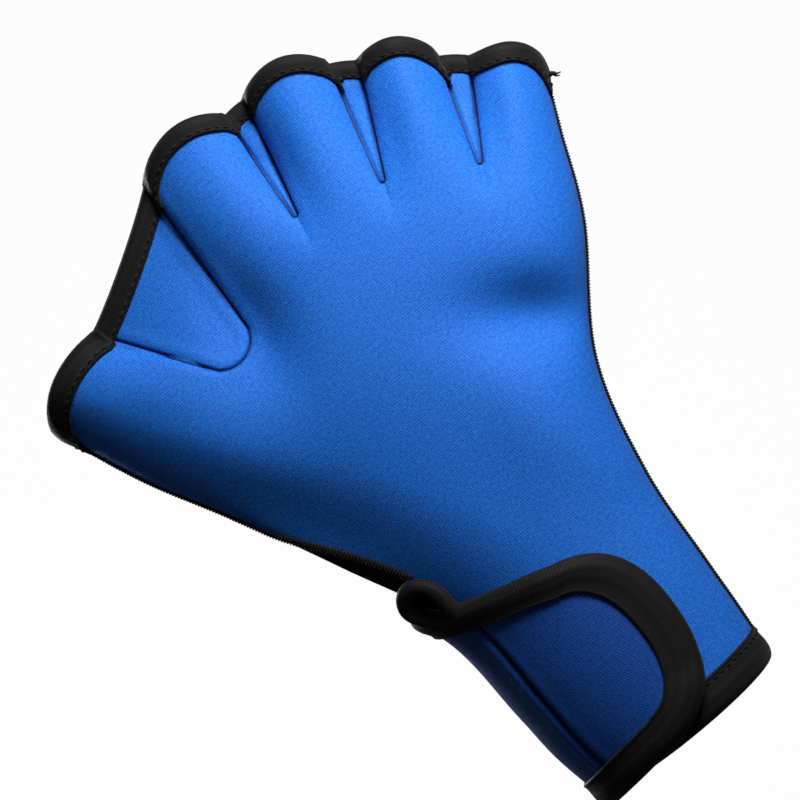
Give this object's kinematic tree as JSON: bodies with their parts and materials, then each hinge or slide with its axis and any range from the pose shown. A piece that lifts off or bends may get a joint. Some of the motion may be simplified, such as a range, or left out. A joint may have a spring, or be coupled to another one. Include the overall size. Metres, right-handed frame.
{
  "type": "webbed swim glove",
  "caption": "Webbed swim glove for the right hand: blue neoprene back with web gussets, black bound open fingertips and a wrap-round wrist strap.",
  "frame": {"origin": "centre of the wrist opening", "axes": "+Z along the forearm to the fingers, +X to the little finger, -Y out of the back of the hand"},
  "size_m": [0.1824, 0.0568, 0.2376],
  "materials": {
    "blue_neoprene": "matt jersey over foam",
    "black_neoprene": "matt jersey over foam",
    "black_tape": "ribbed folded tape",
    "black_thread": "overlocked thread",
    "black_hook_tape": "hook tape"
  },
  "bodies": {
    "root": {"back_panel": "blue_neoprene", "web_thumb": "blue_neoprene", "web_index_middle": "blue_neoprene", "web_middle_ring": "blue_neoprene", "web_ring_little": "blue_neoprene", "strap_base": "blue_neoprene", "strap_end": "blue_neoprene", "palm_panel": "black_neoprene", "binding_thumb": "black_tape", "binding_index": "black_tape", "binding_middle": "black_tape", "binding_ring": "black_tape", "binding_little": "black_tape", "binding_web_thumb": "black_tape", "binding_web_index_middle": "black_tape", "binding_web_middle_ring": "black_tape", "binding_web_ring_little": "black_tape", "binding_wrist": "black_tape", "binding_slit": "black_tape", "binding_strap": "black_tape", "seam_thumb_side": "black_thread", "seam_little_side": "black_thread", "hook_patch": "black_hook_tape"}
  },
  "joints": []
}
